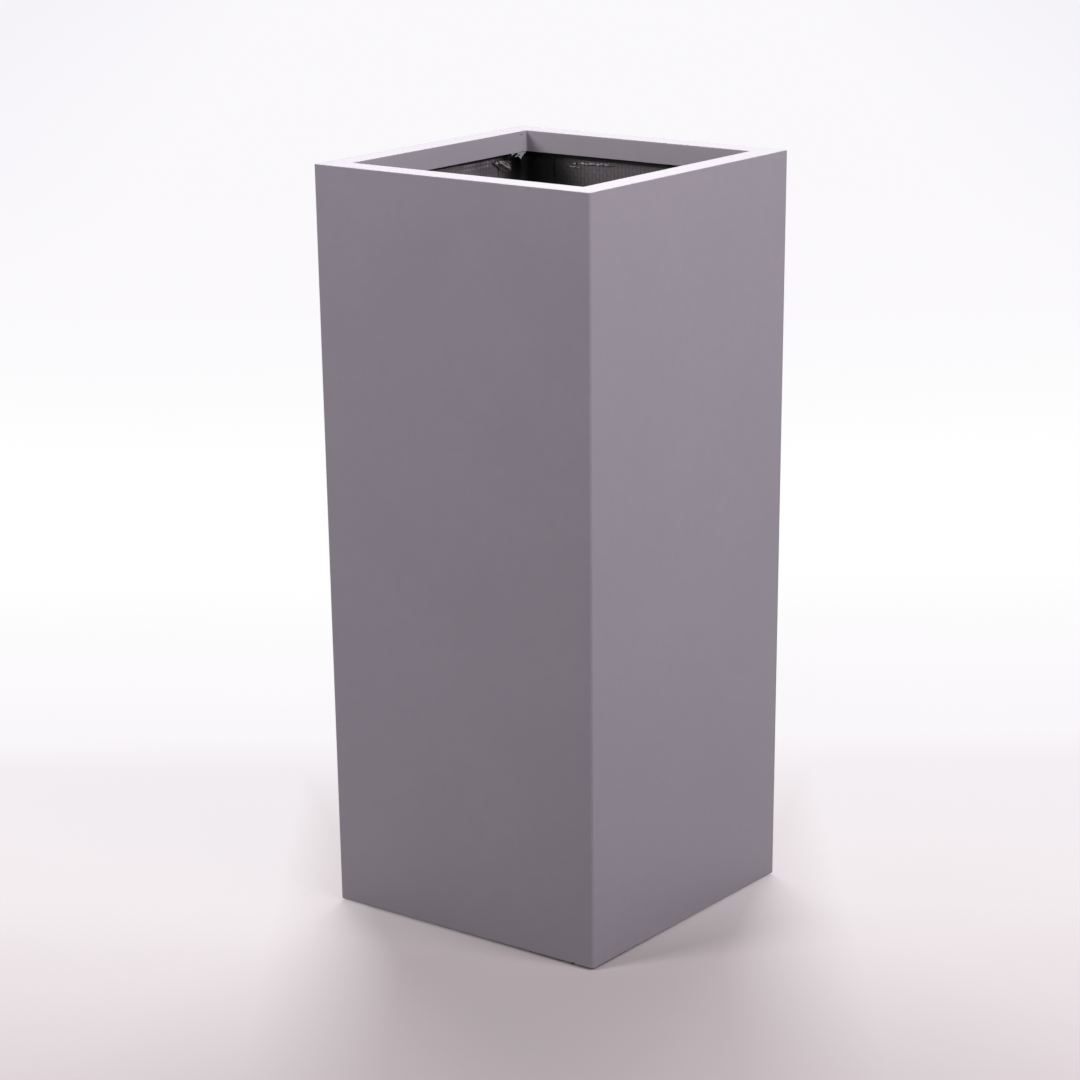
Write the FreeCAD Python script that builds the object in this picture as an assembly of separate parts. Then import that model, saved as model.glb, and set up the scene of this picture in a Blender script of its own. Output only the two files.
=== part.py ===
import FreeCAD, Part
import os

os.makedirs("parts", exist_ok=True)

# A tall square planter of hand-laid glass fibre, in millimetres.
# The floor is at Z = 0, front is -Y, right is +X, back is +Y and left is -X.

# Moulded body
top_width = 350.0  # outside, across the rim
base_width = 339.0  # outside, across the foot: the walls lean so that the mould lets go
body_height = 803.0  # without the pads; the nominal height is 800
edge_radius = 5.0  # outside, along the four upright edges
foot_radius = 2.5  # outside, where the walls turn under the base
wall = 3.5
base_skin = 3.5
inner_radius = 2.0  # the least that cloth is laid into

# Rim collar and the battens in its hollow
rim_width = 28.0  # flat top, from the outside face to the mouth
rim_depth = 23.0  # how far the inner lip reaches down
rim_skin = 3.5
rim_edge = 0.8  # rounding of the rim's upper edges
mouth_radius = 1.2  # upright corners of the mouth
batten_height = 15.0

# Lining of woven roving and the tapes over its joints
roving = 1.0
roving_drop = 32.0  # from the rim down to the cloth's upper edge
tape = 0.8
tape_leg = 45.0
cove_radius = 10.0  # upright inside corners of the tapes, full of resin
floor_cove = 8.0  # where the floor tapes turn up the walls

# Base
board = 9.0
drain_radius = 11.0
sleeve_wall = 2.5
sleeve_flange = 7.0
sleeve_flange_height = 2.0

# Rubber bung
bung_gap = 0.3  # round the top of the stem, and under the flange
bung_taper = 1.0  # how much slimmer the stem's lower end is, in radius
bung_flange = 4.0  # how far the flange reaches past the drain's bore
bung_flange_height = 3.5
grip_neck_radius = 4.0
grip_neck_height = 5.0
grip_head = 3.0  # how far the grip's head reaches past its neck
grip_head_height = 4.0
bung_rounding = 0.8

# Rubber pads under the base
pad_thickness = 2.0
pad_radius = 14.0
pad_rounding = 0.4
pad_inset = 42.0  # from the foot's outside faces to a pad's centre

# Levels, from the floor up
body_bottom = pad_thickness
body_top = body_bottom + body_height
board_bottom = body_bottom + base_skin
board_top = board_bottom + board
floor_top = board_top + roving
roving_top = body_top - roving_drop
lining = wall + roving
over = 1.0  # how far a cutting solid runs past what it cuts
same = 1e-6  # lengths closer than this are equal

sides = {"front": -90, "right": 0, "back": 90, "left": 180}
corners = {
    "front_left": (-1, -1),
    "front_right": (1, -1),
    "back_right": (1, 1),
    "back_left": (-1, 1),
}


def half_width(height):
    # half the outside width at a height; it also runs on past the foot and the rim
    lean = (top_width - base_width) / 2 / body_height
    return base_width / 2 + lean * (height - body_bottom)


def tapered_box(low_x, low_y, high_x, high_y, bottom, top):
    # four leaning sides between two rectangles, given by their half sizes
    low = [(-low_x, -low_y), (low_x, -low_y), (low_x, low_y), (-low_x, low_y)]
    high = [(-high_x, -high_y), (high_x, -high_y), (high_x, high_y), (-high_x, high_y)]
    low = [FreeCAD.Vector(x, y, bottom) for x, y in low]
    high = [FreeCAD.Vector(x, y, top) for x, y in high]
    loops = [low[::-1], high]
    for i in range(4):
        j = (i + 1) % 4
        loops.append([low[i], low[j], high[j], high[i]])
    faces = [Part.Face(Part.makePolygon(loop + loop[:1])) for loop in loops]
    return Part.Solid(Part.Shell(faces))


def upright_edges(shape):
    return [e for e in shape.Edges if abs(e.Vertexes[0].Z - e.Vertexes[-1].Z) > same]


def level_edges(shape, height):
    return [e for e in shape.Edges if all(abs(v.Z - height) < same for v in e.Vertexes)]


def block(inset, bottom, top, radius):
    # the body's form, drawn in by inset on all four sides and rounded along its upright edges
    low = half_width(bottom) - inset
    high = half_width(top) - inset
    solid = tapered_box(low, low, high, high, bottom, top)
    return solid.makeFillet(radius, upright_edges(solid))


def corner_radius(inset):
    return max(edge_radius - inset, inner_radius)


def frame(outer, inner, bottom, top, inner_corner):
    # an upright sleeve of the body's form, between two insets
    solid = block(outer, bottom, top, corner_radius(outer))
    return solid.cut(block(inner, bottom - over, top + over, inner_corner))


def mitre(shape, angle):
    # the quarter of a frame that lies on one side, cut along the diagonals
    reach = top_width
    points = [(0, 0), (reach, -reach), (reach, reach), (0, 0)]
    wedge = Part.Face(Part.makePolygon([FreeCAD.Vector(x, y, -reach) for x, y in points]))
    wedge = wedge.extrude(FreeCAD.Vector(0, 0, body_top + 2 * reach))
    wedge.rotate(FreeCAD.Vector(0, 0, 0), FreeCAD.Vector(0, 0, 1), angle)
    return shape.common(wedge)


def disc(radius, bottom, top):
    return Part.makeCylinder(radius, top - bottom, FreeCAD.Vector(0, 0, bottom))


def drain_cut(radius):
    return disc(radius, body_bottom - over, floor_top + over)


def outer_shell():
    solid = block(0, body_bottom, body_top, edge_radius)
    solid = solid.makeFillet(foot_radius, level_edges(solid, body_bottom))
    solid = solid.makeFillet(rim_edge, level_edges(solid, body_top))
    solid = solid.cut(block(wall, board_bottom, body_top + over, corner_radius(wall)))
    return solid.cut(drain_cut(drain_radius + sleeve_wall))


def rim_collar():
    flat = block(wall, body_top - rim_skin, body_top, corner_radius(wall))
    lip_back = rim_width - rim_skin
    lip = block(lip_back, body_top - rim_depth, body_top, mouth_radius)
    mouth = block(rim_width, body_top - rim_depth - over, body_top + over, mouth_radius)
    solid = flat.fuse(lip).removeSplitter().cut(mouth)
    inside = [
        e
        for e in level_edges(solid, body_top)
        if max(abs(e.CenterOfMass.x), abs(e.CenterOfMass.y)) < half_width(body_top) - lip_back
    ]
    return solid.makeFillet(rim_edge, inside)


def rim_batten(angle):
    top = body_top - rim_skin
    solid = frame(wall, rim_width - rim_skin, top - batten_height, top, mouth_radius)
    return mitre(solid, angle)


def wall_roving(angle):
    return mitre(frame(wall, lining, board_top, roving_top, corner_radius(lining)), angle)


def corner_tape(x_side, y_side):
    bottom = floor_top + tape_leg
    solid = frame(lining, lining + tape, bottom, roving_top, cove_radius)
    reach = top_width
    low = half_width(bottom - over) - lining - tape_leg
    high = half_width(roving_top + over) - lining - tape_leg
    solid = solid.cut(tapered_box(low, reach, high, reach, bottom - over, roving_top + over))
    solid = solid.cut(tapered_box(reach, low, reach, high, bottom - over, roving_top + over))
    for piece in solid.Solids:
        centre = piece.CenterOfMass
        if centre.x * x_side > 0 and centre.y * y_side > 0:
            return piece


def floor_board():
    solid = block(wall, board_bottom, board_top, corner_radius(wall))
    return solid.cut(drain_cut(drain_radius + sleeve_wall))


def floor_roving():
    solid = block(lining, board_top, floor_top, corner_radius(lining))
    return solid.cut(drain_cut(drain_radius + sleeve_wall))


def floor_tape(angle):
    # an L in section, with a cove of resin where its legs meet
    top = floor_top + tape_leg
    solid = block(lining, floor_top, top, corner_radius(lining))
    hollow = block(lining + tape, floor_top + tape, top + over, cove_radius)
    cove = min(floor_cove, 0.95 * cove_radius)
    hollow = hollow.makeFillet(cove, level_edges(hollow, floor_top + tape))
    solid = solid.cut(hollow)
    bare = block(lining + tape_leg, floor_top - over, top + over, cove_radius)
    return mitre(solid.cut(bare), angle)


def drain_sleeve():
    outer = drain_radius + sleeve_wall
    solid = disc(outer, body_bottom, floor_top)
    flange_top = floor_top + sleeve_flange_height
    solid = solid.fuse(disc(outer + sleeve_flange, floor_top, flange_top)).removeSplitter()
    return solid.cut(disc(drain_radius, body_bottom - over, flange_top + over))


def drain_bung():
    seat = floor_top + sleeve_flange_height + bung_gap
    stem_radius = drain_radius - bung_gap
    flange_radius = drain_radius + bung_flange
    head_radius = grip_neck_radius + grip_head
    flange_top = seat + bung_flange_height
    neck_top = flange_top + grip_neck_height
    head_top = neck_top + grip_head_height
    outline = [
        (0, body_bottom),
        (stem_radius - bung_taper, body_bottom),
        (stem_radius, seat),
        (flange_radius, seat),
        (flange_radius, flange_top),
        (grip_neck_radius, flange_top),
        (grip_neck_radius, neck_top),
        (head_radius, neck_top),
        (head_radius, head_top),
        (0, head_top),
        (0, body_bottom),
    ]
    face = Part.Face(Part.makePolygon([FreeCAD.Vector(r, 0, z) for r, z in outline]))
    solid = face.revolve(FreeCAD.Vector(0, 0, 0), FreeCAD.Vector(0, 0, 1), 360)
    rounded = [body_bottom, flange_top, neck_top, head_top]
    edges = [
        e
        for e in solid.Edges
        if e.Closed
        and min(abs(e.CenterOfMass.z - level) for level in rounded) < same
        and e.Curve.Radius > grip_neck_radius + same
    ]
    return solid.makeFillet(bung_rounding, edges)


def foot_pad(x_side, y_side):
    offset = base_width / 2 - pad_inset
    solid = Part.makeCylinder(
        pad_radius, pad_thickness, FreeCAD.Vector(x_side * offset, y_side * offset, 0)
    )
    return solid.makeFillet(pad_rounding, level_edges(solid, 0))


pieces = {
    "outer_shell": outer_shell(),
    "rim_collar": rim_collar(),
    "floor_board": floor_board(),
    "floor_roving": floor_roving(),
    "drain_sleeve": drain_sleeve(),
    "drain_bung": drain_bung(),
}
for side, angle in sides.items():
    pieces["rim_batten_" + side] = rim_batten(angle)
    pieces["roving_" + side] = wall_roving(angle)
    pieces["floor_tape_" + side] = floor_tape(angle)
for corner, (x_side, y_side) in corners.items():
    pieces["corner_tape_" + corner] = corner_tape(x_side, y_side)
    pieces["foot_pad_" + corner] = foot_pad(x_side, y_side)

for name, shape in pieces.items():
    shape.exportStep("parts/" + name + ".step")
    box = shape.BoundBox
    print(
        f"{name}: {len(shape.Solids)} solid, {shape.Volume / 1000:.2f} cm3, valid {shape.isValid()},"
        f" {box.XLength:.2f} x {box.YLength:.2f} x {box.ZLength:.2f} at {box.ZMin:.2f}"
    )
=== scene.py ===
import math

import bmesh
import bpy
import numpy as np
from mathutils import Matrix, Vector


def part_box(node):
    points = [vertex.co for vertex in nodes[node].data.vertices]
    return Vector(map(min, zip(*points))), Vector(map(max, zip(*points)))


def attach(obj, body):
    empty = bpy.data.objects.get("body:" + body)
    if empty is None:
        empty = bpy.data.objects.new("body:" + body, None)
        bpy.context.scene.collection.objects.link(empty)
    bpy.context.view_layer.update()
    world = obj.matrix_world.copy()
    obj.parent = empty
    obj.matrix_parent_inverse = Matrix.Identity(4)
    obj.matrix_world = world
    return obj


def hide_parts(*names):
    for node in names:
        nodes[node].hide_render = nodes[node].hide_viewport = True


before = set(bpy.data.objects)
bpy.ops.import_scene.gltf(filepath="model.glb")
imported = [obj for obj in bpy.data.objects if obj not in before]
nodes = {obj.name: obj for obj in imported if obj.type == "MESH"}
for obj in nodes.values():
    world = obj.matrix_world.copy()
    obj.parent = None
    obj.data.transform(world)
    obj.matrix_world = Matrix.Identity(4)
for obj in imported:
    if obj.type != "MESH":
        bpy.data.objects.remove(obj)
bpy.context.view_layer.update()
print("frame loaded:", len(nodes), "nodes")

mm = 0.001
tiny = 0.01 * mm  # points this close count as on the same plane
near = 0.1 * mm

shellLow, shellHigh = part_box("outer_shell")
collarLow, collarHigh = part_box("rim_collar")
boardLow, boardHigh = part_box("floor_board")
tapeLow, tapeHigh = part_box("corner_tape_front_left")
sleeveLow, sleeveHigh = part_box("drain_sleeve")
bungLow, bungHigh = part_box("drain_bung")
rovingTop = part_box("roving_front")[1].z
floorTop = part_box("floor_roving")[1].z
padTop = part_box("foot_pad_front_right")[1].z

view = {
    "place": (1.95296, -2.59785, 1.27051),
    "turn": (74.9258, 0.5506, 37.0935),
    "lens": 105.183,
    "sensor": 36,
}
studio = {
    "aim": (0, 0, 0.5),
    "air": (1, 0.985, 1),
    "airStrength": 0.015,
    # each lamp's place, width and depth, and power
    "lamps": {
        "frontBox": ((-1.06, -2.44, 1.82), (0.8, 0.8), 48.5),  # low enough to reach under the lip
        "rightBox": ((2.6, 0.1, 1.72), (1.0, 1.0), 45),
        "rightHigh": ((1.5, -0.4, 2.6), (1.2, 1.2), 28),
        "backBank": ((-1.3, 1.7, 3.0), (2.4, 1.8), 142),  # throws the shadow to the front
    },
}


def placeCamera():
    lens = bpy.data.cameras.new("photoView")
    lens.lens = view["lens"]
    lens.sensor_width = view["sensor"]
    lens.clip_end = 50
    eye = bpy.data.objects.new("photoView", lens)
    eye.location = view["place"]
    eye.rotation_euler = [math.radians(a) for a in view["turn"]]
    bpy.context.scene.collection.objects.link(eye)
    bpy.context.scene.camera = eye


def placeLights():
    for name, (place, size, power) in studio["lamps"].items():
        lamp = bpy.data.lights.new(name, "AREA")
        lamp.shape = "RECTANGLE"
        lamp.size, lamp.size_y = size
        lamp.energy = power
        holder = bpy.data.objects.new(name, lamp)
        holder.location = place
        aim = Vector(studio["aim"]) - Vector(place)
        holder.rotation_euler = aim.to_track_quat("-Z", "Y").to_euler()
        holder.visible_camera = False
        bpy.context.scene.collection.objects.link(holder)


def plug(node, inputs):
    # sets a node's inputs, or links them where the value is a socket; colours are three numbers
    for key, value in inputs.items():
        socket = node.inputs[key]
        if isinstance(value, bpy.types.NodeSocket):
            node.id_data.links.new(value, socket)
        else:
            socket.default_value = (*value, 1) if socket.type == "RGBA" else value
    return node


def wire(owner, kind, **inputs):
    # adds a node to the tree that owns a socket; i0, i1 and so on stand for inputs by number
    named = {int(key[1:]) if key[1:].isdigit() else key: value for key, value in inputs.items()}
    return plug(owner.id_data.nodes.new("ShaderNode" + kind), named)


def stretched(place, scale):
    return wire(place, "Mapping", Vector=place, Scale=scale).outputs[0]


def speckle(place, scale, detail=2, roughness=0.5):
    node = wire(place, "TexNoise", Vector=place, Scale=scale, Detail=detail, Roughness=roughness)
    return node.outputs["Fac"]


def between(value, low, high, fromLow=0.0, fromHigh=1.0):
    return wire(value, "MapRange", i0=value, i1=fromLow, i2=fromHigh, i3=low, i4=high).outputs[0]


def patches(place, scale, detail, low=0, high=1, fromLow=0.3, fromHigh=0.7):
    return between(speckle(place, scale, detail), low, high, fromLow, fromHigh)


def mixColours(amount, first, second):
    node = wire(amount, "Mix")
    node.data_type = "RGBA"
    return plug(node, {0: amount, 6: first, 7: second}).outputs[2]


def mathNode(operation, first, second=0.0):
    node = wire(first, "Math", i0=first, i1=second)
    node.operation = operation
    return node.outputs[0]


def times(first, second):
    return mathNode("MULTIPLY", first, second)


def bumpFrom(height, distance, strength=0.5, onto=None):
    node = wire(height, "Bump", Height=height, Distance=distance, Strength=strength)
    if onto is not None:
        plug(node, {"Normal": onto})
    return node.outputs[0]


def seenRays(owner):
    # 1 where the camera looks, straight or through a reflection or glass
    rays = wire(owner, "LightPath").outputs
    seen = mathNode("MAXIMUM", rays["Is Camera Ray"], rays["Is Glossy Ray"])
    return mathNode("MAXIMUM", seen, rays["Is Transmission Ray"])


def surroundings():
    world = bpy.data.worlds.new("studioAir")
    world.use_nodes = True
    tree = world.node_tree
    tree.nodes.clear()
    fill = wire(tree, "Background", Color=studio["air"], Strength=studio["airStrength"])
    white = wire(tree, "Background", Color=(1, 1, 1), Strength=1)
    mix = wire(tree, "MixShader", i0=seenRays(tree), i1=fill.outputs[0], i2=white.outputs[0])
    wire(tree, "OutputWorld", Surface=mix.outputs[0])
    bpy.context.scene.world = world


placeCamera()
placeLights()
surroundings()
bpy.context.scene.view_settings.view_transform = "Standard"
print("camera, lights and surroundings placed")


def newMaterial(name):
    material = bpy.data.materials.new(name)
    material.use_nodes = True
    tree = material.node_tree
    tree.nodes.clear()
    return material, wire(tree, "TexCoord").outputs["Object"]


def finished(material, colour, roughness, relief, coat=(0, 0.03)):
    tree = material.node_tree
    shader = plug(wire(tree, "BsdfPrincipled"), {
        "Base Color": colour, "Roughness": roughness, "Normal": relief,
        "Coat Weight": coat[0], "Coat Roughness": coat[1]})
    wire(tree, "OutputMaterial", Surface=shader.outputs[0])
    return material


def satinPaint(name, dark, light):
    material, place = newMaterial(name)
    colour = mixColours(patches(place, 7, 3), dark, light)
    grain = patches(place, 90, 3, 0, 0.35, 0.35, 0.75)
    colour = mixColours(grain, colour, tuple(0.93 * c for c in dark))
    matt = patches(place, 14, 4, 0.40, 0.50, 0, 1)
    peel = bumpFrom(speckle(place, 330), 0.06 * mm)
    return finished(material, colour, matt, bumpFrom(speckle(place, 45), 0.12 * mm, 0.4, peel))


def dryShare(owner):
    dry = wire(owner, "Attribute")
    dry.attribute_name = "dry"
    return dry.outputs["Fac"]


def dryGlass(place, colour):
    # bare glass shows pale where the resin is thin; the same pale colour also paints sheen and highlights,
    # and its absence paints shade, as strongly as the piece's own attribute says
    amount = times(dryShare(place), patches(place, 700, 3, 0.55, 1.0, 0.3, 0.6))
    return mixColours(amount, colour, (0.640, 0.570, 0.610))


def resinDrips(place, scale, onto=None):
    # runs of resin, drawn out downwards
    return bumpFrom(speckle(stretched(place, (1, 1, 0.4)), scale, 3), 0.3 * mm, 0.5, onto)


def yarnCrown(count):
    return mathNode("SINE", times(mathNode("FRACT", count), math.pi))


def wovenResin():
    # glass roving soaked in black resin: the map counts yarns, so the fibres follow each yarn
    material, place = newMaterial("black roving")
    cloth = wire(place, "TexCoord").outputs["UV"]
    yarn = wire(place, "SeparateXYZ", Vector=cloth).outputs
    column, row = yarn["X"], yarn["Y"]
    cell = mathNode("ADD", mathNode("FLOOR", column), mathNode("FLOOR", row))
    weftOnTop = mathNode("MODULO", cell, 2.0)
    upright = speckle(stretched(cloth, (30, 1.2, 1)), 1, 3)
    level = speckle(stretched(cloth, (1.2, 30, 1)), 1, 3)
    strands = mixColours(weftOnTop, upright, level)
    # lighter fibres on the yarns' crowns and darker grooves: thinner resin on the crests, with painted sheen
    # there and painted shade in the grooves
    crown = times(between(yarnCrown(row), 0.4, 1.0), yarnCrown(column))
    pools = patches(place, 30, 3, 0, 1, 0.35, 0.65)
    resin = mixColours(pools, (0.012, 0.011, 0.012), (0.022, 0.020, 0.022))
    fibres = times(
        between(strands, 0.35, 1, 0.3, 0.7), between(dryShare(place), 0.15, 1, 0.0, 0.1))
    crestFibresAndSheen = times(between(crown, 0, 1, 0.1, 0.7), fibres)
    colour = mixColours(crestFibresAndSheen, resin, (0.092, 0.070, 0.080))
    matt = between(strands, 0.42, 0.58, 0.3, 0.7)
    relief = bumpFrom(strands, 0.12 * mm, 0.5, resinDrips(place, 170))
    return finished(material, dryGlass(place, colour), matt, relief, (0.4, 0.2))


def blackResin(name, dark, light, matt):
    # resin with a chopped mat or a tape just under its skin
    material, place = newMaterial(name)
    colour = mixColours(patches(place, 28, 3), dark, light)
    mat = bumpFrom(speckle(place, 420, 4, 0.7), 0.1 * mm, 0.35)
    return finished(
        material, dryGlass(place, colour), patches(place, 60, 4, *matt),
        resinDrips(place, 160, mat), (0.3, 0.12))


overspray = {"from": 128 * mm, "full": 160 * mm, "uneven": 20 * mm, "paint": (0.275, 0.242, 0.290)}


def sprayedBase():
    # the underside: raw black laminate, with paint that drifted in round its edges
    material, place = newMaterial("sprayed base")
    split = wire(place, "SeparateXYZ", Vector=place).outputs
    out = mathNode("MAXIMUM", mathNode("ABSOLUTE", split["X"]), mathNode("ABSOLUTE", split["Y"]))
    uneven = patches(place, 24, 4, -overspray["uneven"], overspray["uneven"], 0, 1)
    drift = between(mathNode("ADD", out, uneven), 0, 1, overspray["from"], overspray["full"])
    drift = mathNode("MINIMUM", times(drift, patches(place, 520, 2, 0.6, 1.4)), 1.0)
    fibres = between(speckle(place, 260, 5, 0.7), 0, 1, 0.4, 0.7)
    raw = mixColours(fibres, (0.012, 0.012, 0.013), (0.034, 0.032, 0.034))
    colour = mixColours(drift, raw, overspray["paint"])
    return finished(material, colour, between(drift, 0.38, 0.55), bumpFrom(fibres, 0.2 * mm))


def rawWood(name, pale, dark, grain, bands):
    # grain is drawn out along the axis with the small number, and its rings stack along bands
    material, place = newMaterial(name)
    along = stretched(place, grain)
    rings = wire(place, "TexWave", Vector=along, Scale=70, Distortion=7, Detail=3)
    rings.bands_direction = bands
    rings.inputs["Detail Scale"].default_value = 1.4
    streaks = speckle(along, 420, 4)
    blend = between(times(rings.outputs["Fac"], streaks), 0, 1, 0.05, 0.6)
    colour = mixColours(blend, pale, dark)
    return finished(material, colour, between(streaks, 0.62, 0.8), bumpFrom(streaks, 0.3 * mm))


def mouldedRubber(name, dark, light, roughness):
    material, place = newMaterial(name)
    dust = patches(place, 110, 4, 0, 1, 0.35, 0.75)
    matt = between(dust, roughness, roughness + 0.15)
    relief = bumpFrom(speckle(place, 900), 0.08 * mm, 0.4)
    return finished(material, mixColours(dust, dark, light), matt, relief)


floorFade = {
    "heading": 37.24,  # the way the camera looks across the floor
    "near": -1.0,  # metres behind the object's middle, where the tones begin and end
    "far": 5.0,
    "cloudy": 0.25,
    "tones": [
        (0.00, (0.79, 0.72, 0.74)),
        (0.18, (0.94, 0.90, 0.925)),
        (0.28, (0.96, 0.935, 0.96)),
        (0.38, (1, 1, 1)),
        (0.50, (1, 1, 1)),
        (0.72, (0.96, 0.945, 0.97)),
        (1.00, (0.955, 0.94, 0.965)),
    ],
    "corner": (0.915, 0.90, 0.94),
    "cornerAside": (1.1, 2.1),
    "cornerDepth": (3.0, 5.0),
    "paper": (0.475, 0.420, 0.436),
    "bounce": (0.22, 0.21, 0.215),
    "blend": (-0.20, 0.52),
    "glowBesideShadow": (0.165, 0.31),  # painted light: the paper glows pale beside the shadow too, over the side lamps' shadows
    "besidesDepth": (-0.75, -0.05),
    "besidesMost": 0.84,
}


def paperFloor():
    # pale paper: it takes the object's shadow in front, and fades to white behind the object; there and
    # beside the shadow it is a painted glow, white where seen, over the side lamps' shadows
    material, place = newMaterial("paper floor")
    split = wire(place, "SeparateXYZ", Vector=place).outputs
    heading = math.radians(floorFade["heading"])
    depth = mathNode("ADD", times(split["X"], -math.sin(heading)), times(split["Y"], math.cos(heading)))
    aside = mathNode("ABSOLUTE", mathNode(
        "ADD", times(split["X"], math.cos(heading)), times(split["Y"], math.sin(heading))))
    clouds = patches(place, 1.1, 3, -floorFade["cloudy"], floorFade["cloudy"], 0, 1)
    cloudy = mathNode("ADD", depth, clouds)
    ramp = wire(place, "ValToRGB", Fac=between(cloudy, 0, 1, floorFade["near"], floorFade["far"]))
    stops = [(position, (*colour, 1)) for position, colour in floorFade["tones"]]
    ends = ramp.color_ramp.elements
    ends[0].position, ends[0].color = stops[0]
    ends[1].position, ends[1].color = stops[-1]
    for position, colour in stops[1:-1]:
        ramp.color_ramp.elements.new(position).color = colour
    farOff = times(
        between(aside, 0, 1, *floorFade["cornerAside"]),
        between(depth, 0, 1, *floorFade["cornerDepth"]))
    seenTone = mixColours(farOff, ramp.outputs["Color"], floorFade["corner"])
    glow = wire(place, "Emission", Color=seenTone, Strength=1.0)
    bounces = wire(place, "LightPath").outputs["Is Diffuse Ray"]
    tone = mixColours(bounces, floorFade["paper"], floorFade["bounce"])
    matt = wire(place, "BsdfDiffuse", Color=tone)
    # painted light: the glow beside the object's shadow hides the shadows that the side lamps cast
    glowBesideShadow = times(
        between(aside, 0, 1, *floorFade["glowBesideShadow"]),
        between(depth, 0, floorFade["besidesMost"], *floorFade["besidesDepth"]))
    fading = mathNode("MAXIMUM", glowBesideShadow, between(depth, 0, 1, *floorFade["blend"]))
    amount = times(seenRays(place), fading)
    mix = wire(place, "MixShader", i0=amount, i1=matt.outputs[0], i2=glow.outputs[0])
    wire(place, "OutputMaterial", Surface=mix.outputs[0])
    return material


pine = ((0.56, 0.41, 0.25), (0.36, 0.24, 0.13))
plywood = ((0.50, 0.36, 0.22), (0.30, 0.20, 0.11))
finishes = {
    "paint": satinPaint("satin paint", (0.270, 0.238, 0.284), (0.284, 0.249, 0.296)),
    # painted light: the rim and the lip get lighter copies of the same satin paint, standing in for the light
    # they catch
    "rimPaint": satinPaint("satin paint, lighter for the rim's light", (0.300, 0.266, 0.310), (0.314, 0.277, 0.322)),
    "lipPaint": satinPaint("satin paint, lighter for the lip's light", (0.332, 0.294, 0.343), (0.346, 0.306, 0.356)),
    "roving": wovenResin(),
    "tape": blackResin("black tape", (0.009, 0.009, 0.010), (0.016, 0.016, 0.017), (0.30, 0.48)),
    "bare": blackResin("bare laminate", (0.012, 0.012, 0.013), (0.024, 0.023, 0.024), (0.40, 0.58)),
    "base": sprayedBase(),
    "battenAcross": rawWood("batten wood, grain across", *pine, (0.06, 1, 1), "Z"),
    "battenAlong": rawWood("batten wood, grain front to back", *pine, (1, 0.06, 1), "Z"),
    "board": rawWood("board wood", *plywood, (0.06, 1, 1), "Y"),
    "sleeve": mouldedRubber("sleeve plastic", (0.018, 0.018, 0.018), (0.030, 0.030, 0.030), 0.38),
    "bung": mouldedRubber("bung rubber", (0.028, 0.028, 0.029), (0.060, 0.058, 0.056), 0.55),
    "pad": mouldedRubber("pad rubber", (0.045, 0.045, 0.045), (0.085, 0.083, 0.080), 0.65),
}
print("materials made")


def layFloor():
    bpy.ops.object.select_all(action="DESELECT")
    bpy.ops.mesh.primitive_plane_add(size=40, location=(0, 0, 0))
    floor = bpy.context.object
    floor.name = "studio_floor"
    floor.data.materials.append(paperFloor())


layFloor()


def startPiece(name, kind, scale=(1, 1, 1), **settings):
    # a primitive at its size and place, with its place in its mesh
    bpy.ops.object.select_all(action="DESELECT")
    getattr(bpy.ops.mesh, "primitive_" + kind + "_add")(**settings)
    piece = bpy.context.object
    piece.scale = scale
    bpy.ops.object.transform_apply(location=True, rotation=True, scale=True)
    piece.name = name
    piece.data.name = name
    return piece


def makeActive(piece):
    bpy.ops.object.select_all(action="DESELECT")
    piece.select_set(True)
    bpy.context.view_layer.objects.active = piece


def openEdit(piece):
    makeActive(piece)
    bpy.ops.object.mode_set(mode="EDIT")
    bpy.ops.mesh.select_mode(type="VERT")


def closeEdit():
    bpy.ops.object.mode_set(mode="OBJECT")


def chooseAll():
    bpy.ops.mesh.select_all(action="SELECT")


def choose(piece, kind, test):
    # in edit mode: selects only the vertices, edges or faces that pass a test, and counts them
    bpy.ops.mesh.select_mode(type=kind)
    bpy.ops.mesh.select_all(action="DESELECT")
    cage = bmesh.from_edit_mesh(piece.data)
    found = [p for p in {"VERT": cage.verts, "EDGE": cage.edges, "FACE": cage.faces}[kind] if test(p)]
    for part in found:
        part.select_set(True)
    cage.select_flush_mode()
    bmesh.update_edit_mesh(piece.data)
    return len(found)


def chooseEdges(piece, test, also=lambda e: True):
    # edges with both ends where the test says
    choose(piece, "EDGE", lambda e: also(e) and all(test(v.co) for v in e.verts))


def upright(edge):
    a, b = (v.co for v in edge.verts)
    return abs(a.z - b.z) > 5 * max(abs(a.x - b.x), abs(a.y - b.y)) and abs(a.z - b.z) > mm


def besideWall(edge):
    return any(abs(f.normal.z) < 0.3 for f in edge.link_faces)


def outFrom(c):
    # how far out a point is, measured square to the sides
    return max(abs(c.x), abs(c.y))


def within(face, limit):
    # whether a face lies closer in than this all over
    return all(outFrom(v.co) < limit + near for v in face.verts)


def extrudeFaces(move):
    bpy.ops.mesh.extrude_region_move(TRANSFORM_OT_translate={"value": move})


def extrudeEdges(move):
    bpy.ops.mesh.extrude_edges_move(TRANSFORM_OT_translate={"value": move})


def drawIn(share):
    bpy.ops.transform.resize(value=(share, share, 1), center_override=(0, 0, 0))


def cuts(start, end, count):
    return np.linspace(start, end, count + 2)[1:-1]


def sliceAt(axis, places):
    # straight cuts right through, so that long faces can be shaped between their ends
    for place in places:
        point = [0, 0, 0]
        normal = [0, 0, 0]
        point[axis] = place
        normal[axis] = 1
        chooseAll()
        bpy.ops.mesh.bisect(plane_co=point, plane_no=normal)


def bevelSelected(radius, segments=3):
    bpy.ops.mesh.bevel(offset=radius, segments=segments, profile=0.5, clamp_overlap=False)


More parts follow.
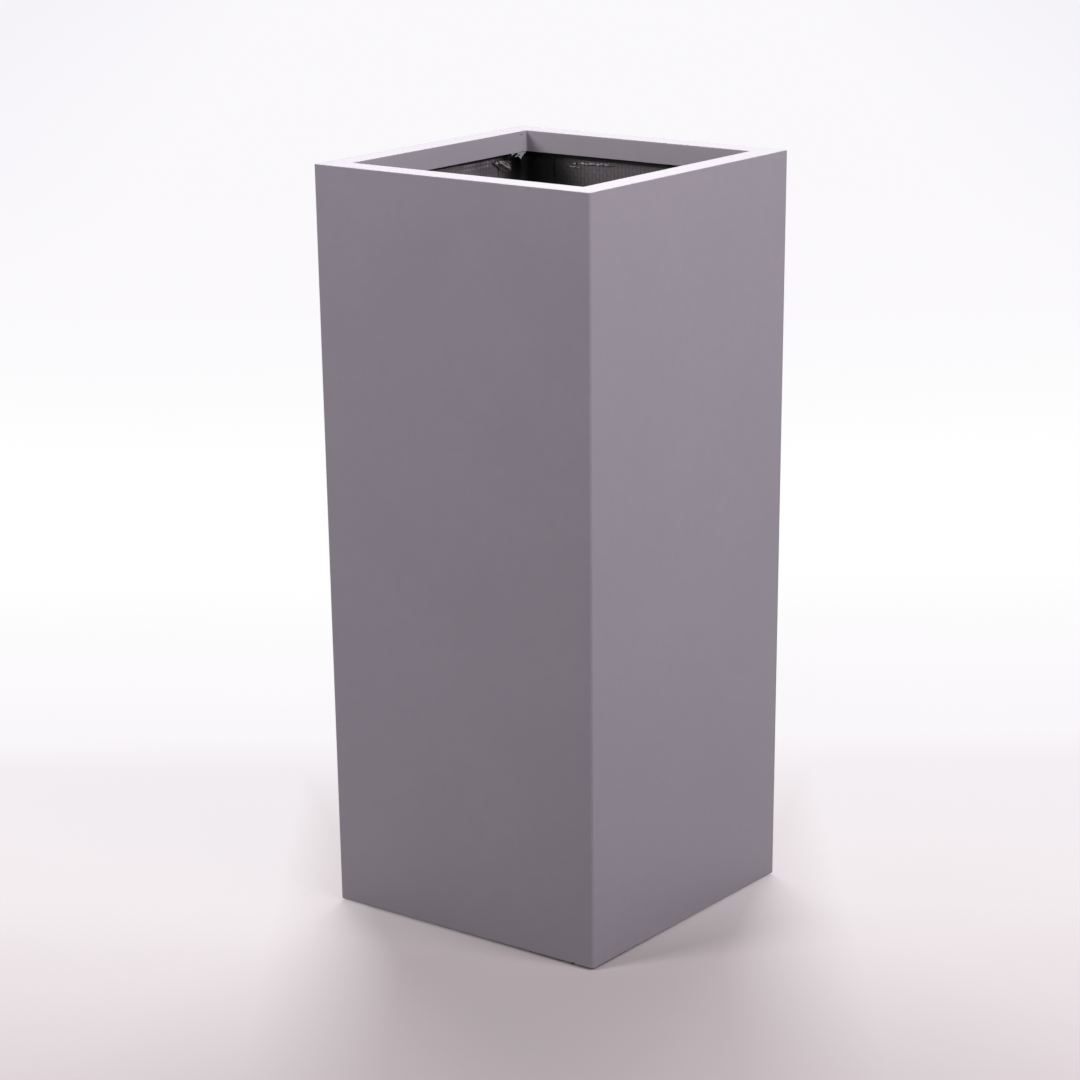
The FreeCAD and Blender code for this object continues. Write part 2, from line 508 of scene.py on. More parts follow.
def addModifier(piece, kind, **settings):
    # adds a modifier and applies it
    makeActive(piece)
    bpy.ops.object.modifier_add(type=kind)
    modifier = piece.modifiers[-1]
    for key, value in settings.items():
        setattr(modifier, key, value)
    bpy.ops.object.modifier_apply(modifier=modifier.name)


def cutWith(piece, cutter):
    addModifier(piece, "BOOLEAN", operation="DIFFERENCE", solver="EXACT", object=cutter)
    bpy.data.objects.remove(cutter, do_unlink=True)


def facesOutward(piece):
    openEdit(piece)
    chooseAll()
    bpy.ops.mesh.remove_doubles(threshold=tiny)
    bpy.ops.mesh.normals_make_consistent(inside=False)
    closeEdit()


def smoothFaces(piece, degrees, weighted=False):
    makeActive(piece)
    bpy.ops.object.shade_smooth_by_angle(angle=math.radians(degrees))
    if weighted:
        addModifier(piece, "WEIGHTED_NORMAL", keep_sharp=True, weight=60)


def vertexPlaces(piece):
    places = np.empty(len(piece.data.vertices) * 3)
    piece.data.vertices.foreach_get("co", places)
    return places.reshape(-1, 3)


def setVertexPlaces(piece, places):
    piece.data.vertices.foreach_set("co", places.ravel())
    piece.data.update()


def turned(places, degrees):
    # the same places, turned about the planter's upright axis
    a = math.radians(degrees)
    result = places.copy()
    result[:, 0] = places[:, 0] * math.cos(a) - places[:, 1] * math.sin(a)
    result[:, 1] = places[:, 0] * math.sin(a) + places[:, 1] * math.cos(a)
    return result


def ripple(first, second, seed):
    # smooth random swell between -1 and 1, from a few crossing waves
    rng = np.random.default_rng(seed)
    total = np.zeros_like(first)
    for size in (1.0, 1.7, 2.9, 4.3):
        heading = rng.uniform(0, 2 * math.pi, 2)
        phase = rng.uniform(0, 2 * math.pi, 2)
        run = first * math.cos(heading[0]) + second * math.sin(heading[0])
        rise = first * math.cos(heading[1]) + second * math.sin(heading[1])
        total += np.sin(run * size + phase[0]) * np.cos(rise * size * 0.8 + phase[1]) / size
    return total / 1.6


def half(swell):
    # a swell between 0 and 1
    return 0.5 + 0.5 * swell


def handOver(piece, looks, slotName, *replaced, onBody="planter"):
    piece.data.materials.clear()
    for look in looks.split():
        piece.data.materials.append(finishes[look])
    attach(piece, onBody)
    if replaced:
        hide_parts(*replaced)
    print(piece.name, "ready:", len(piece.data.polygons), "faces")


sides = {"front": 0, "right": 90, "back": 180, "left": 270}

body = {
    "topWidth": shellHigh.x - shellLow.x,
    "baseWidth": 339 * mm,
    "bottom": shellLow.z,
    "top": shellHigh.z,
    "wall": 3.5 * mm,
    "edgeRadius": 2.5 * mm,
    "edgeSteps": 6,
    "innerRadius": 2 * mm,
    "footRadius": 1.6 * mm,
    "footSteps": 4,
    "rimEdge": 0.8 * mm,
    "lining": 4.5 * mm,
    "wave": 0.35 * mm,  # how far the flat sides sink between their edges
    "waveFade": (80 * mm, 100 * mm),  # and how far in from the upright edges and the ends
    "levels": 17,  # cuts across the sides, which let them sink
    "columns": 8,
    "sleeveHole": 13.5 * mm,
    "chip": 144.2 * mm,  # where the front face's lower edge is chipped
    "chipRadius": 1.4 * mm,
}


def halfWidth(height):
    # half the outside width at a height, as the walls lean
    lean = (body["topWidth"] - body["baseWidth"]) / 2 / (body["top"] - body["bottom"])
    return body["baseWidth"] / 2 + lean * (height - body["bottom"])


def drillThrough(piece, height):
    drill = startPiece(
        "drill", "cylinder", vertices=64, radius=body["sleeveHole"], depth=20 * mm, location=(0, 0, height))
    cutWith(piece, drill)


def mouldedBody():
    bottom, top, wall = body["bottom"], body["top"], body["wall"]
    height = top - bottom
    piece = startPiece(
        "moulded_body", "cube", size=1, location=(0, 0, bottom + height / 2),
        scale=(body["topWidth"], body["topWidth"], height))
    openEdit(piece)
    # the foot is drawn in, and the hollow is sunk from the top with walls of one thickness
    choose(piece, "VERT", lambda v: v.co.z < bottom + mm)
    drawIn(body["baseWidth"] / body["topWidth"])
    choose(piece, "FACE", lambda f: f.normal.z > 0.9)
    bpy.ops.mesh.inset(thickness=wall)
    extrudeFaces((0, 0, boardLow.z - top))
    drawIn((halfWidth(boardLow.z) - wall) / (halfWidth(top) - wall))
    # roundings: the upright edges, the turn under the base and the rim
    chooseEdges(piece, lambda c: abs(c.x) > halfWidth(c.z) - mm, upright)
    bevelSelected(body["edgeRadius"], body["edgeSteps"])
    chooseEdges(piece, lambda c: outFrom(c) < halfWidth(c.z) - wall + 2 * near, upright)
    bevelSelected(body["innerRadius"])
    chooseEdges(piece, lambda c: c.z < bottom + tiny)
    bevelSelected(body["footRadius"], body["footSteps"])
    outside = halfWidth(top) - wall / 2
    chooseEdges(piece, lambda c: c.z > top - tiny and outFrom(c) > outside, besideWall)
    bevelSelected(body["rimEdge"])
    sliceAt(2, cuts(bottom, top, body["levels"]))
    columns = cuts(-body["baseWidth"] / 2, body["baseWidth"] / 2, body["columns"])
    sliceAt(0, columns)
    sliceAt(1, columns)
    closeEdit()
    # hand-laid sides are never quite flat: they sink a little between their edges
    places = vertexPlaces(piece)
    for across, out in ((0, 1), (1, 0)):
        limit = halfWidth(places[:, 2])
        onFace = np.abs(np.abs(places[:, out]) - limit) < 2 * tiny
        side = np.clip((limit - np.abs(places[:, across])) / body["waveFade"][0], 0, 1)
        toEnd = np.minimum(places[:, 2] - bottom, top - places[:, 2])
        rise = np.clip(toEnd / body["waveFade"][1], 0, 1)
        swell = ripple(places[:, across] * 9, places[:, 2] * 7 + np.sign(places[:, out]) * 3, 11 + out)
        sink = body["wave"] * side * rise * (0.55 + 0.45 * swell)
        places[onFace, out] -= (np.sign(places[:, out]) * sink)[onFace]
    setVertexPlaces(piece, places)
    drillThrough(piece, boardLow.z)
    chipPlace = Vector((body["chip"], -halfWidth(bottom) + 0.7 * mm, bottom + 0.5 * mm))
    chip = startPiece(
        "chip", "ico_sphere", subdivisions=3, radius=body["chipRadius"], location=chipPlace,
        scale=(1.2, 1.1, 1.35))
    cutWith(piece, chip)
    facesOutward(piece)
    smoothFaces(piece, 40, True)
    handOver(piece, "paint bare base", "painted_laminate", "outer_shell")
    for face in piece.data.polygons:
        c = face.center
        inset = halfWidth(c.z) - outFrom(c)
        chipped = (Vector(c) - chipPlace).length < 1.45 * body["chipRadius"] and inset > 3 * near
        inside = inset > 0.6 * wall and c.z < top - near
        if face.normal.z < -0.9 and c.z < bottom + near:
            face.material_index = 2
        elif inside or (chipped and face.normal.z < 0.9):
            face.material_index = 1


mouldedBody()


rim = {
    "width": 28 * mm,
    "skin": 3.5 * mm,
    "edge": 0.8 * mm,
    "lipEdge": 0.5 * mm,
    "mouthRadius": 1.2 * mm,
    "columns": 36,
    "ragged": 0.45 * mm,  # how uneven the trimmed lower edge of the lip is
    "swell": 0.3 * mm,
    "pinhole": (9.0 * mm, 4.2 * mm),  # in the left lip, from the corner and down
}


def rimCollar():
    top, low = collarHigh.z, collarLow.z
    skin, wall = rim["skin"], body["wall"]
    width = 2 * (halfWidth(top) - wall)
    mouth = halfWidth(top) - rim["width"]
    lipBack = mouth + skin
    piece = startPiece(
        "rim_with_lip", "cube", size=1, location=(0, 0, top - skin / 2), scale=(width, width, skin))
    openEdit(piece)
    # a frame: the middle of the slab is taken out, and the strip round the mouth goes down as the lip
    choose(piece, "FACE", lambda f: f.normal.z > 0.9)
    bpy.ops.mesh.inset(thickness=rim["width"] - wall)
    choose(piece, "FACE", lambda f: f.normal.z < -0.9)
    bpy.ops.mesh.inset(thickness=rim["width"] - wall - skin)
    bpy.ops.mesh.inset(thickness=skin)
    choose(piece, "FACE", lambda f: abs(f.normal.z) > 0.9 and within(f, mouth))
    bpy.ops.mesh.delete(type="ONLY_FACE")
    choose(piece, "EDGE", lambda e: e.is_boundary)
    bpy.ops.mesh.bridge_edge_loops()
    choose(piece, "FACE", lambda f: f.normal.z < -0.9 and within(f, lipBack))
    extrudeFaces((0, 0, low - (top - skin)))
    # roundings of the corners, the rim's inner edge and the lip's trimmed edge
    chooseEdges(piece, lambda c: abs(c.x) > lipBack + mm, upright)
    bevelSelected(body["innerRadius"])
    chooseEdges(piece, lambda c: abs(c.x) < lipBack + mm, upright)
    bevelSelected(rim["mouthRadius"])
    chooseEdges(piece, lambda c: c.z > top - tiny and outFrom(c) < mouth + 5 * tiny)
    bevelSelected(rim["edge"])
    chooseEdges(piece, lambda c: c.z < low + tiny, besideWall)
    bevelSelected(rim["lipEdge"], 2)
    steps = cuts(-mouth, mouth, rim["columns"])
    sliceAt(0, steps)
    sliceAt(1, steps)
    closeEdit()
    # the lip was trimmed by hand, so its lower edge wanders a little, and its face swells slightly
    places = vertexPlaces(piece)
    for across, out in ((0, 1), (1, 0)):
        lip = (np.abs(places[:, out]) > mouth - near) & (np.abs(places[:, out]) < lipBack + near)
        lip &= np.abs(places[:, across]) < mouth - 4 * mm
        phase = 5 * out + 2 * np.sign(places[:, out])
        wander = ripple(places[:, across] * 42 + phase, places[:, out] * 9, 23)
        down = np.clip((top - 6 * mm - places[:, 2]) / (top - 6 * mm - low), 0, 1)
        places[lip, 2] += (down * rim["ragged"] * half(wander))[lip]
        swell = ripple(places[:, across] * 16 + phase, places[:, 2] * 60, 29)
        places[lip, out] += (np.sign(places[:, out]) * down * rim["swell"] * half(swell))[lip]
    setVertexPlaces(piece, places)
    along, down = rim["pinhole"]
    needle = startPiece(
        "needle", "cone", vertices=20, radius1=1.5 * mm, radius2=0.4 * mm, depth=2.4 * mm,
        rotation=(0, -math.pi / 2, 0), location=(-mouth - 0.7 * mm, mouth - along, top - down))
    cutWith(piece, needle)
    facesOutward(piece)
    smoothFaces(piece, 40, True)
    # the lip's faces get the lightest copy of the paint, as painted light
    handOver(piece, "rimPaint bare lipPaint", "painted_laminate", "rim_collar")
    for face in piece.data.polygons:
        c = face.center
        inset = halfWidth(top) - outFrom(c)
        if inset < rim["width"] - 0.8 * skin and c.z < top - 0.5 * skin:
            face.material_index = 1
        elif inset > rim["width"] - 5 * near and c.z < top - 0.3 * rim["edge"]:
            face.material_index = 2


rimCollar()


weave = {
    "pitch": 5.1 * mm,  # one yarn
    "cuts": 3,  # vertices to a yarn
    "relief": 0.55 * mm,
    "weft": 0.50,  # how high the level yarns stand beside the upright ones
    "groove": 0.50,  # how high the cloth stays where one yarn dives under the next
    "backing": 0.35 * mm,
    "wander": 0.9 * mm,  # how far a yarn strays from its line
    "hemHeight": 1.7 * mm,
    "hemCut": 1.2 * mm,  # how unevenly the upper edge was cut
    "dryFade": 90 * mm,
    "beadShift": 0.15,  # in yarns
}
# for each side: how far the cloth's edge lies above its usual level, how pale it is near the top, from bare
# glass and painted sheen, how much of that paleness is kept in the corners, where painted shade takes over,
# and the relief that is left where resin fills the weave
lining = {
    "front": {"higher": 0, "dry": 0.07, "keptInCornerShade": 0.5, "flooded": 0.8},
    "right": {"higher": 0, "dry": 0.07, "keptInCornerShade": 0.5, "flooded": 0.8},
    "back": {"higher": 1.3 * mm, "dry": 0.14, "keptInCornerShade": 0.04, "flooded": 1.0},
    "left": {"higher": 2.4 * mm, "dry": 0.32, "keptInCornerShade": 0.5, "flooded": 0.15},
}
# where the upper hem stands off the wall: middle and half length along the side, how far, and how pale it is,
# from dry glass and a painted highlight along the hem
hemBulges = {
    "front": [(-0.060, 0.050, 0.9 * mm, 0.12)],
    "right": [(0.030, 0.040, 0.8 * mm, 0.12)],
    "back": [(0.070, 0.026, 1.2 * mm, 0.30), (-0.085, 0.030, 0.9 * mm, 0.15)],
    "left": [(-0.088, 0.034, 1.3 * mm, 1.7), (0.090, 0.030, 0.8 * mm, 0.10)],
}


def wovenHeight(columns, rows, seed):
    # relief of a plain weave at every vertex of a grid with a few vertices to a yarn
    column, row = np.meshgrid(np.arange(columns), np.arange(rows))
    step = weave["cuts"]
    warpOnTop = (column // step + row // step) % 2 == 0
    height = np.where(warpOnTop, 1.0, weave["weft"])
    height = np.where(row % step == 0, weave["groove"] + 0.1 * warpOnTop, height)
    height = np.where(column % step == 0, 0.0, height)
    rng = np.random.default_rng(seed)
    yarnFullness = rng.uniform(0.8, 1.0, columns // step + 2)[column // step]
    resin = 0.72 + 0.28 * ripple(column * 0.045, row * 0.03, seed + 1)
    return (height * yarnFullness * resin).ravel() * weave["relief"]


def countYarns(piece, across, up):
    # one unit of the map becomes one yarn, so that the fibres follow the relief
    layer = piece.data.uv_layers[0].data
    flat = np.empty(len(layer) * 2)
    layer.foreach_get("uv", flat)
    flat = flat.reshape(-1, 2) * (across, up)
    layer.foreach_set("uv", flat.ravel())


def wovenGrid(name, cellsAcross, cellsUp, seed):
    columns = cellsAcross * weave["cuts"]
    rows = cellsUp * weave["cuts"]
    piece = startPiece(name, "grid", x_subdivisions=columns, y_subdivisions=rows, size=1)
    countYarns(piece, cellsAcross, cellsUp)
    return piece, vertexPlaces(piece), wovenHeight(columns + 1, rows + 1, seed)


def closeBack(piece, move):
    # the sheet gets its edge and a plain back
    openEdit(piece)
    choose(piece, "EDGE", lambda e: e.is_boundary)
    extrudeEdges(move)
    bpy.ops.mesh.edge_face_add()
    closeEdit()


def keepDryAndLit(piece, amounts):
    # how pale the cloth is at each vertex, from bare glass and from painted sheen, highlights and shade, for
    # the material to read
    layer = piece.data.attributes.new("dry", "FLOAT", "POINT")
    layer.data.foreach_set("value", np.clip(amounts, 0, 1))


def wallRoving(side, turn, seed):
    cloth = lining[side]
    pitch = weave["pitch"]
    low, top = boardHigh.z, rovingTop + cloth["higher"]
    cellsUp = round((top - low) / pitch)
    cellsAcross = round(2 * halfWidth((low + top) / 2) / pitch)
    piece, places, relief = wovenGrid("wall_roving_" + side, cellsAcross, cellsUp, seed)
    height = low + (places[:, 1] + 0.5) * (top - low)
    reach = halfWidth(height) - body["lining"]
    across = places[:, 0] * 2 * reach
    stray = weave["wander"] * ripple(across * 11, height * 6, seed + 2) * (1 - 4 * places[:, 0] ** 2)
    # the cloth is palest near the top, with bare glass and painted sheen that fade with depth, and beside the
    # corner tapes it is darkened with painted shade
    fromCorner = reach - np.abs(across)
    dry = cloth["dry"] * np.exp(-((top - height) / weave["dryFade"]) ** 2)
    dry *= np.clip((fromCorner - 52 * mm) / (42 * mm), cloth["keptInCornerShade"], 1)
    # the hem: the cloth's upper edge stands off the wall in places, isn't level, and is pale, as glass short
    # of resin and as a painted highlight
    belowHem = (top - height) / weave["hemHeight"]
    stand = np.zeros_like(across)
    hemDryAndLit = np.zeros_like(across)
    for middle, length, off, dryness in hemBulges[side]:
        share = np.exp(-((across - middle) / length) ** 4)
        stand += off * share
        hemDryAndLit = np.maximum(hemDryAndLit, dryness * share)
    yarn = across / reach * cellsAcross / 2 + cellsAcross / 2
    warpCrest = np.sin(yarn % 1 * math.pi) ** 2 * (0.6 + 0.4 * np.sin(yarn * 1.9) ** 2)
    lift = stand * np.exp(-(belowHem - 1.1) ** 2) * half(warpCrest)
    # painted highlights: pale beads where the yarns cross below the hem, each of its own strength
    crossing = (top - height) / pitch + weave["beadShift"]
    beadGlint = np.sin(crossing * math.pi) ** 2
    beadGlint *= 0.3 + 0.7 * np.sin(np.floor(yarn) * 12.99 + np.floor(crossing) * 78.23) ** 2
    beadHighlights = hemDryAndLit * np.exp(-((belowHem - 2.0) / 2.8) ** 2) * (0.08 + 0.92 * warpCrest * beadGlint)
    drop = np.clip(1 - belowHem / 6, 0, 1) * weave["hemCut"] * half(ripple(across * 25, height * 0, seed + 3))
    relief *= cloth["flooded"] + (1 - cloth["flooded"]) * np.clip(1.6 - belowHem / 4, 0, 1)
    face = halfWidth(height) - body["wall"] - weave["backing"] - relief - lift
    places = np.stack([across + stray, -face, height - drop], axis=1)
    setVertexPlaces(piece, turned(places, turn))
    keepDryAndLit(piece, np.maximum(dry, beadHighlights))
    closeBack(piece, tuple(turned(np.array([[0, -(weave["backing"] + 2 * near), 0.0]]), turn)[0]))
    facesOutward(piece)
    smoothFaces(piece, 75)
    handOver(piece, "roving", "black_roving", "roving_" + side)


def floorRoving():
    reach = halfWidth(boardHigh.z) - body["lining"]
    cells = round(2 * reach / weave["pitch"])
    piece, places, relief = wovenGrid("floor_roving_cloth", cells, cells, 71)
    places[:, :2] *= 2 * reach
    stray = weave["wander"] * ripple(places[:, 0] * 9, places[:, 1] * 7, 72)
    places[:, 0] += stray * (1 - (places[:, 0] / reach) ** 2)
    places[:, 2] = boardHigh.z + weave["backing"] + relief
    setVertexPlaces(piece, places)
    closeBack(piece, (0, 0, -weave["backing"]))
    facesOutward(piece)
    drillThrough(piece, boardHigh.z)
    smoothFaces(piece, 75)
    handOver(piece, "roving", "black_roving", "floor_roving")


for number, (side, turn) in enumerate(sides.items()):
    wallRoving(side, turn, 31 + 7 * number)
floorRoving()


tapes = {
    "skin": 0.8 * mm,
    "leg": 45 * mm,
    "cove": 10 * mm,
    "floorCove": 8 * mm,
    "level": 9 * mm,  # between the cuts across a corner tape
    "uneven": 0.35 * mm,
    "fray": 1.6 * mm,  # how far a tape's edge strays
    "dry": 0.16,
    "straight": 30,  # columns along a floor tape, and in each of its corners
    "bend": 5,
}
cornerTurns = {"back_right": 0, "back_left": 90, "front_left": 180, "front_right": 270}


def cornerTape(corner, turn, seed):
    low, top = tapeLow.z, tapeHigh.z
    outer = halfWidth(low) - body["lining"]
    skin, leg = tapes["skin"], tapes["leg"]
    inner = outer - skin
    piece = startPiece(
        "corner_tape_strip_" + corner, "plane", size=1,
        location=(outer - skin / 2, outer - skin / 2, low), scale=(skin, skin, 1))
    openEdit(piece)
    # two legs from the corner, drawn up the wall, and a cove of resin where they meet
    chooseEdges(piece, lambda c: c.x < inner + tiny)
    extrudeEdges((skin - leg, 0, 0))
    chooseEdges(piece, lambda c: c.y < inner + tiny and c.x > inner - tiny)
    extrudeEdges((0, skin - leg, 0))
    chooseAll()
    spread = halfWidth(top) - halfWidth(low)
    extrudeFaces((spread, spread, top - low))
    chooseAll()
    bpy.ops.mesh.normals_make_consistent(inside=False)
    for upward in (1, -1):
        choose(piece, "FACE", lambda f: f.normal.z * upward > 0.9)
        bpy.ops.mesh.dissolve_faces()
    chooseEdges(
        piece, lambda c: abs(halfWidth(c.z) - body["lining"] - skin - c.x) < 5 * tiny and
        abs(c.x - c.y) < 5 * tiny, upright)
    bevelSelected(tapes["cove"], 8)
    sliceAt(2, np.arange(low + tapes["level"], top, tapes["level"]))
    for axis in (0, 1):
        sliceAt(axis, cuts(outer - leg, outer - tapes["cove"], 5))
    closeEdit()
    # the skin swells with resin, thins to its edges, and its edges stray
    places = vertexPlaces(piece)
    wall = halfWidth(places[:, 2]) - body["lining"]
    gapX, gapY = wall - places[:, 0], wall - places[:, 1]
    onSkin = (gapX > 0.5 * skin) & (gapY > 0.5 * skin)
    along = np.maximum(gapX, gapY)
    thin = np.clip((leg - along) / (9 * mm), 0, 1)
    swell = tapes["uneven"] * ripple(along * 70, places[:, 2] * 34, seed)
    for axis, gap, other in ((0, gapX, gapY), (1, gapY, gapX)):
        flat = onSkin & (other > gap)
        places[flat, axis] -= ((swell + near) * thin - 0.85 * skin * (1 - thin))[flat]
        far = gap > leg - 5 * near
        places[far, axis] += (tapes["fray"] * (ripple(places[:, 2] * 30, gap * 0, seed + 5) + 0.6))[far]
    world = turned(places, turn)
    # painted light: the tapes are paler on the left wall, which the side lamp lights, and darker towards its
    # corner with painted shade
    litOnLeft = np.clip((-world[:, 0] - np.abs(world[:, 1]) - 22 * mm) / (18 * mm), 0.04, 1)
    keepDryAndLit(piece, tapes["dry"] * litOnLeft * np.exp(-((top - places[:, 2]) / weave["dryFade"]) ** 2))
    setVertexPlaces(piece, world)
    facesOutward(piece)
    smoothFaces(piece, 50)
    handOver(piece, "tape", "black_tape", "corner_tape_" + corner)


def floorTape(side, turn):
    low = floorTop
    skin, leg, cove, turnUp = tapes["skin"], tapes["leg"], tapes["cove"], tapes["floorCove"]
    top = low + leg
    # the strip's section, as distance off the wall and height: up the wall, down its face, round the cove,
    # out over the floor and back
    section = [(0, low), (0, low + leg / 2), (0, top), (0.35 * skin, top), (skin, top - 6 * mm)]
    section += [(skin, z) for z in np.linspace(top - 14 * mm, low + skin + turnUp, 4)]
    section += [
        (skin + turnUp * (1 - math.cos(a)), low + skin + turnUp * (1 - math.sin(a)))
        for a in cuts(0, math.pi / 2, 5)]
    section += [(n, low + skin) for n in np.linspace(skin + turnUp, leg - 6 * mm, 5)]
    section += [(leg, low + 0.35 * skin), (leg, low), (leg / 2, low), (0, low)]
    straight, bend = tapes["straight"], tapes["bend"]
    stations = [("left", 1 - k / bend) for k in range(bend)]
    stations += [("run", -1 + 2 * k / straight) for k in range(straight + 1)]
    stations += [("right", (k + 1) / bend) for k in range(bend)]
    piece = startPiece(
        "floor_tape_strip_" + side, "grid", x_subdivisions=len(stations) - 1,
        y_subdivisions=len(section) - 1, size=1)
    places = []
    for off, z in section:
        corner = halfWidth(z) - body["lining"]
        middle = corner - cove
        radius = cove - off
        for part, share in stations:
            if part == "run":
                places.append((share * middle, -(corner - off), z))
                continue
            if off == 0:
                along, out = middle + cove * share, corner
            elif radius > 0:
                angle = share * math.pi / 4
                along, out = middle + radius * math.sin(angle), middle + radius * math.cos(angle)
            else:
                along, out = middle + radius * share, corner - off
            places.append((along if part == "right" else -along, -out, z))
    places = np.array(places)
    bumpy = (places[:, 2] > low + 0.5 * skin) & (places[:, 2] < low + 4 * mm)
    world = turned(places, turn)
    world[bumpy, 2] += (tapes["uneven"] * half(ripple(world[:, 0] * 55, world[:, 1] * 55, 91)))[bumpy]
    setVertexPlaces(piece, world)
    openEdit(piece)
    chooseAll()
    bpy.ops.mesh.remove_doubles(threshold=tiny / 2)
    choose(piece, "EDGE", lambda e: e.is_boundary)
    bpy.ops.mesh.edge_face_add()
    closeEdit()
    facesOutward(piece)
    smoothFaces(piece, 50)
    handOver(piece, "tape", "black_tape", "floor_tape_" + side)


for number, (corner, turn) in enumerate(cornerTurns.items()):
    cornerTape(corner, turn, 51 + 3 * number)
for side, turn in sides.items():
    floorTape(side, turn)


def insideOutline(x, y, outline):
    # counts crossings of a level ray with the outline
    inside = False
    for (x1, y1), (x2, y2) in zip(outline, outline[1:] + outline[:1]):
        if (y1 > y) != (y2 > y) and x < (x2 - x1) * (y - y1) / (y2 - y1) + x1:
            inside = not inside
    return inside


def patch(name, shape):
    # a fine sheet between two corners, cut to the shape's outline and holes
    low, high = (np.array(shape[end]) * mm for end in ("low", "high"))
    along, down = high[0] - low[0], low[1] - high[1]
    middle = (low + high) / 2

    def cutAway(face):
        c = face.calc_center_median()
        x, y = c.x / mm, -c.y / mm
        torn = any(((x - hx) / rx) ** 2 + ((y - hy) / ry) ** 2 <= 1 for hx, hy, rx, ry in shape["holes"])
        return torn or not insideOutline(x, y, shape["outline"])

    piece = startPiece(
        name, "grid", x_subdivisions=round(along / shape["cell"]), y_subdivisions=round(down / shape["cell"]),
        size=1, location=(middle[0], -middle[1], 0), scale=(along, down, 1))
    countYarns(piece, along / weave["pitch"], down / weave["pitch"])
    openEdit(piece)
    choose(piece, "FACE", cutAway)
    bpy.ops.mesh.delete(type="FACE")
    # where two faces meet at a corner only, they go
    while choose(piece, "FACE", lambda f: any(sum(e.is_boundary for e in v.link_edges) > 2 for v in f.verts)):
        bpy.ops.mesh.delete(type="FACE")
    closeEdit()
    return piece


def thicken(piece, thickness):
    addModifier(piece, "SOLIDIFY", thickness=thickness, offset=0)
    roundOff(piece)


def roundOff(piece):
    addModifier(piece, "SUBSURF", levels=1, render_levels=1)
    facesOutward(piece)
    smoothFaces(piece, 60)


# outlines and corners on the left side are in millimetres: from front to back, and depth below the rim
tuft = {
    "cell": 0.5 * mm,
    "low": (119.5, 31.6),
    "high": (148.0, 21.4),
    "outline": [
        (120.2, 21.5), (121.2, 24.4), (123.0, 25.6), (125.4, 27.0), (128.6, 27.7), (130.4, 27.2),
        (131.2, 26.0), (132.8, 28.0), (133.8, 29.6), (135.0, 30.6), (136.4, 29.8), (138.6, 28.2),
        (141.0, 27.4), (143.4, 26.2), (145.6, 25.2), (147.6, 24.4), (147.8, 21.5),
    ],
    # each hole's middle and its two half widths
    "holes": [
        (126.4, 25.2, 3.2, 1.15), (130.2, 24.5, 2.4, 1.0), (134.2, 26.2, 1.6, 0.7), (146.3, 26.4, 0.9, 1.2),
    ],
    "thick": 0.8 * mm,
    "sunk": 1.3 * mm,  # how far its root lies behind the lip's face
    "flare": 2.3 * mm,  # how far its lower edge curls into the planter
}


def frayedTuft():
    # torn mat under the lip's trimmed edge, near the back left corner, painted over with the lip
    top = collarHigh.z
    lipFace = rim["width"] - halfWidth(top)
    piece = patch("frayed_lip_mat", tuft)
    openEdit(piece)
    chooseAll()
    bpy.ops.mesh.vertices_smooth(factor=0.5, repeat=2)
    closeEdit()
    places = vertexPlaces(piece)
    along, depth = places[:, 0], -places[:, 1]
    hang = np.clip((depth - 23 * mm) / (7 * mm), 0, 1)
    crumple = ripple(along * 420, depth * 520, 301)
    out = tuft["flare"] * hang ** 1.3 * (0.75 + 0.45 * crumple) + 0.25 * mm * crumple - tuft["sunk"]
    setVertexPlaces(piece, np.stack([lipFace + out, along, top - depth + 4 * near * crumple * hang], axis=1))
    thicken(piece, tuft["thick"])
    handOver(piece, "paint", "painted_laminate")


rumple = {
    "cell": 0.6 * mm,
    "low": (112.0, 48.0),
    "high": (149.5, 32.4),
    "thick": 0.7 * mm,
    "outline": [
        (116.4, 33.6), (116.0, 36.0), (119.6, 37.6), (123.8, 39.6), (127.0, 43.4), (131.5, 46.0),
        (138.0, 47.2), (145.0, 47.0), (148.8, 46.2), (149.2, 41.0), (148.6, 36.4), (148.9, 33.2),
        (141.0, 32.6), (131.0, 32.8), (124.0, 32.6),
    ],
    "holes": [],
    # folds: from and to, height, half width and how pale: dry glass and a painted highlight along the fold's
    # ridge
    "folds": [
        ((125.6, 34.8), (141.6, 43.0), 4.8, 1.45, 1.0),
        ((130.4, 34.2), (141.2, 39.4), 4.0, 1.25, 0.85),
        ((136.0, 34.4), (143.8, 36.4), 3.0, 1.2, 0.40),
        ((124.8, 33.6), (127.2, 34.4), 3.4, 1.6, 0.95),
        ((118.4, 33.8), (121.0, 35.4), 3.0, 1.8, 0.90),
        ((141.4, 39.2), (142.6, 42.6), 3.6, 1.2, 0.60),
        ((129.0, 44.6), (141.6, 46.2), 1.2, 0.9, 0.06),
    ],
}


